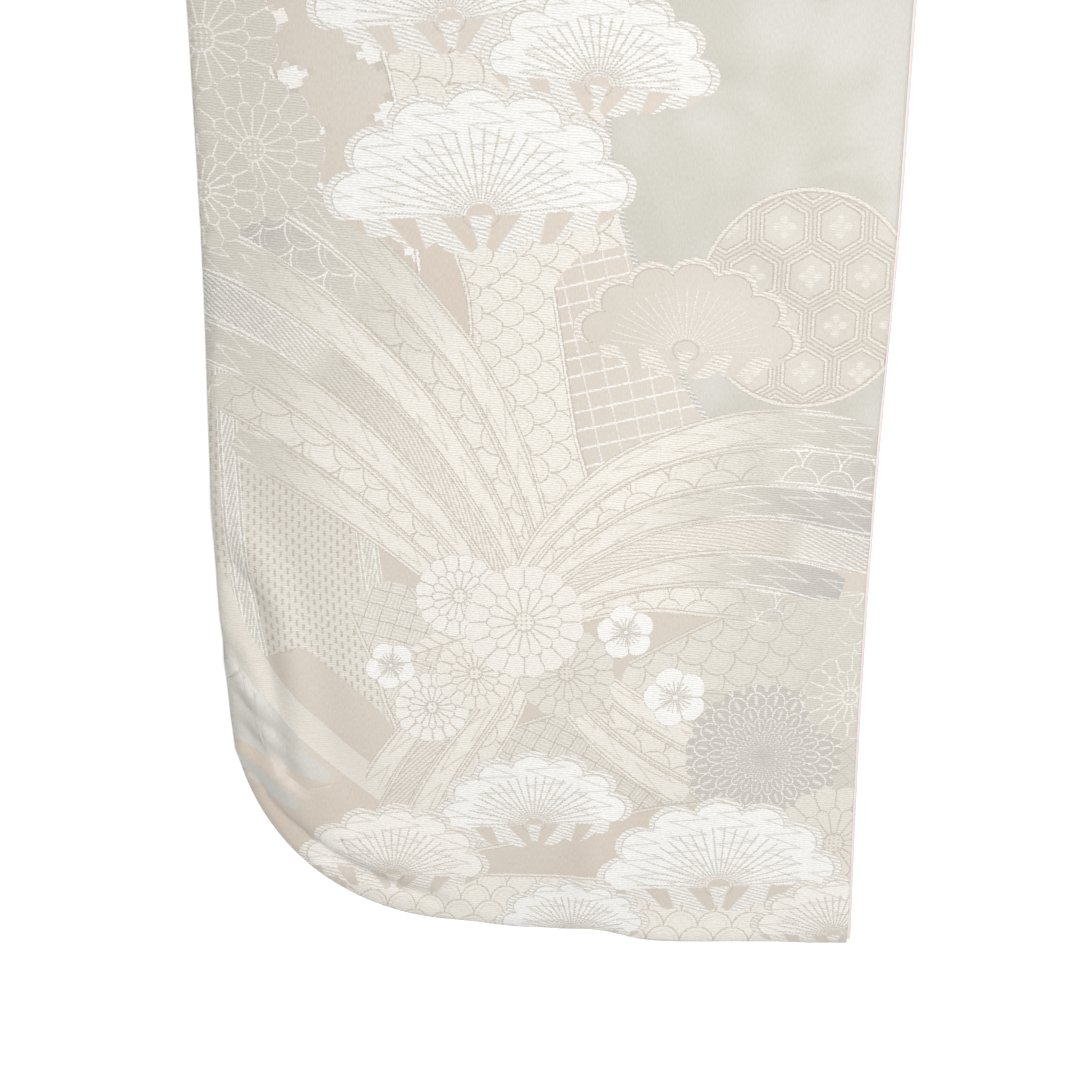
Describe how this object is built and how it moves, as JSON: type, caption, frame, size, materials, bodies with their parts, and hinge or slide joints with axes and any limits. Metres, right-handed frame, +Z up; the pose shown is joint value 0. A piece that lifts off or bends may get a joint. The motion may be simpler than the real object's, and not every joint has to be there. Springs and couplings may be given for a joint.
{
  "type": "uchikake wedding kimono laid flat",
  "caption": "Long padded bridal over-robe in ivory brocade, laid flat with its back up: deep sleeves with one rounded corner, collar band and rolled hem.",
  "frame": {"origin": "on the floor under the middle of the robe's outline", "axes": "+Y from the hem to the collar, +X to the wearer's right, +Z up from the floor through the back of the robe"},
  "size_m": [1.6122, 1.902, 0.0272],
  "materials": {
    "brocade": "ivory figured satin, soft sheen",
    "lining": "pinkish white plain silk",
    "roll_satin": "ivory plain satin, padded"
  },
  "bodies": {
    "root": {"body_left": "brocade", "body_right": "brocade", "overlap_left": "brocade", "overlap_right": "brocade", "collar_left": "brocade", "collar_right": "brocade", "collar_back": "brocade", "sleeve_left": "brocade", "sleeve_right": "brocade", "opening_lining_left": "lining", "opening_lining_right": "lining", "hem_roll": "roll_satin"}
  },
  "joints": []
}
